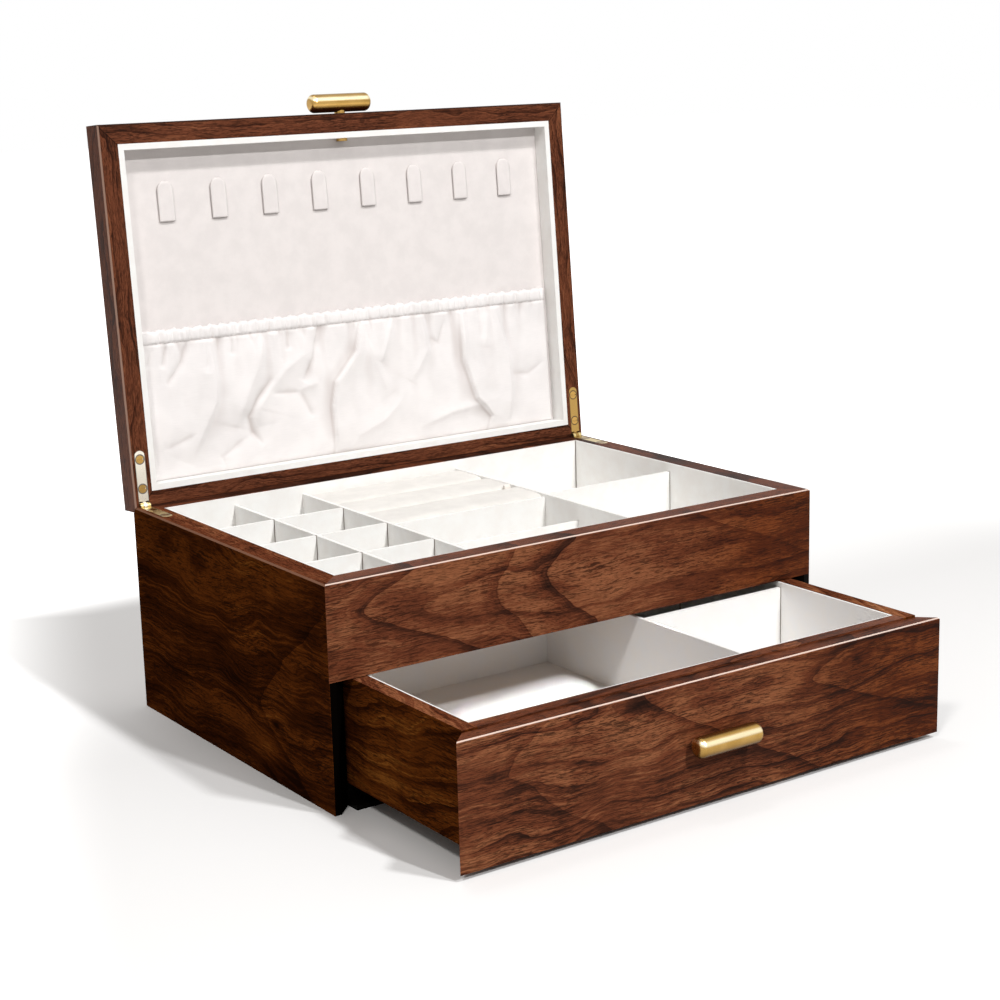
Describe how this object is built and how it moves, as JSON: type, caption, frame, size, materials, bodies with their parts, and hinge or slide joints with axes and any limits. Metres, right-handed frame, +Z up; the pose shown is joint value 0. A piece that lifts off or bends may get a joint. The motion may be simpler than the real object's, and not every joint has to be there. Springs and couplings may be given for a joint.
{
  "type": "ring box with drawer",
  "caption": "Mitred walnut jewellery box with a hinged lid, a divided suede-lined tray with ring rolls, a drawer, an elastic pocket and bar pulls.",
  "frame": {"origin": "middle of the case's underside", "axes": "+Z up, -Y out of the front with the drawer, +X to the viewer's right"},
  "size_m": [0.3, 0.3431, 0.3241],
  "materials": {
    "walnut": "satin lacquered walnut with dark figure",
    "drawer_wood": "satin stained wood",
    "plywood": "plain thin plywood",
    "brass": "satin brass",
    "suede": "off-white suede cloth on card",
    "lid_suede": "off-white suede cloth on padded board",
    "roll_suede": "off-white suede cloth over foam",
    "foam": "plain foam block",
    "satin": "soft white cloth"
  },
  "bodies": {
    "case": {"back_panel": "walnut", "back_row_divider": "suede", "base_panel": "plywood", "case_leaf_screws": "brass", "dust_panel": "plywood", "front_apron": "walnut", "front_row_divider": "suede", "hinge_pins": "brass", "left_case_leaf": "brass", "left_column_divider": "suede", "left_runner": "drawer_wood", "left_side_panel": "walnut", "low_cross_divider": "suede", "middle_column_divider": "suede", "middle_row_divider": "suede", "right_case_leaf": "brass", "right_column_divider": "suede", "right_cross_divider": "suede", "right_runner": "drawer_wood", "right_side_panel": "walnut", "ring_roll_1": "roll_suede", "ring_roll_2": "roll_suede", "ring_roll_3": "roll_suede", "ring_roll_ribbon": "satin", "ring_roll_riser": "foam", "ring_roll_wall": "suede", "tray_floor_lining": "suede", "tray_lining": "suede"},
    "lid": {"elastic_pocket": "satin", "left_lid_leaf": "brass", "lid_back_rail": "walnut", "lid_board": "lid_suede", "lid_front_rail": "walnut", "lid_leaf_screws": "brass", "lid_left_rail": "walnut", "lid_liner": "suede", "lid_pull_bar": "brass", "lid_pull_collar": "brass", "lid_pull_screw": "brass", "lid_right_rail": "walnut", "lid_top_panel": "walnut", "necklace_tabs": "suede", "pocket_elastic": "satin", "right_lid_leaf": "brass"},
    "drawer": {"drawer_back": "drawer_wood", "drawer_bottom": "plywood", "drawer_cross_divider": "suede", "drawer_divider": "suede", "drawer_floor_lining": "suede", "drawer_front": "walnut", "drawer_inner_front": "drawer_wood", "drawer_left_side": "drawer_wood", "drawer_lining": "suede", "drawer_pull_bar": "brass", "drawer_pull_collar": "brass", "drawer_pull_screw": "brass", "drawer_right_side": "drawer_wood"}
  },
  "joints": [
    {"name": "lid_hinge", "type": "hinge", "parent": "case", "child": "lid", "pos_m": [0, 0.0995, 0.1122], "axis": [1, 0, 0], "range_deg": [0, 94.5]},
    {"name": "drawer_slide", "type": "slide", "parent": "case", "child": "drawer", "axis": [0, 1, 0], "range_m": [-0.025, 0.099]}
  ]
}
